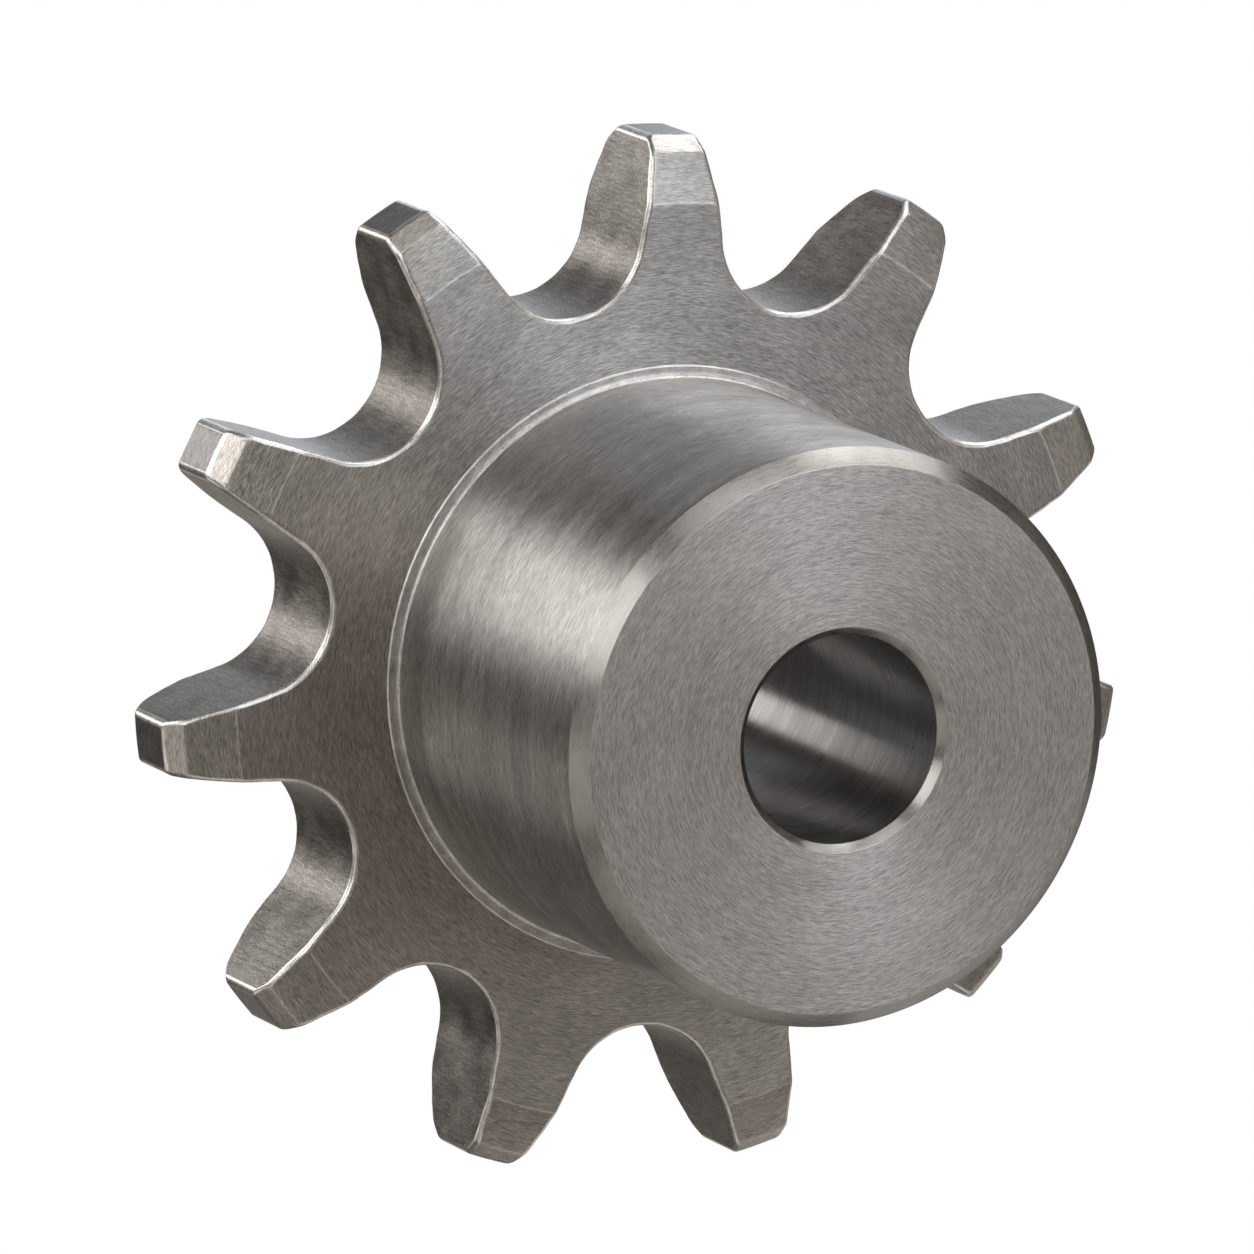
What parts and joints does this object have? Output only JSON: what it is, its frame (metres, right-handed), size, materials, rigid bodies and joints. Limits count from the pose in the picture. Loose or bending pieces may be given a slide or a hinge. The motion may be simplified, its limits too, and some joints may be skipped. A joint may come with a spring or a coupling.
{
  "type": "chain sprocket",
  "caption": "Single-strand roller-chain sprocket with a toothed plate, a cylindrical hub on one side and a plain pilot bore, in bare machined steel.",
  "frame": {"origin": "on the bore's axis at the chain line, the mid-plane of the toothed plate", "axes": "+Z along the bore towards the hub's end face, with one tooth pointing along +Y"},
  "size_m": [0.0656, 0.065, 0.035],
  "materials": {
    "bare_steel": "bare machined steel, finely turned, with deburred edges and no coating"
  },
  "bodies": {
    "root": {"sprocket": "bare_steel"}
  },
  "joints": []
}
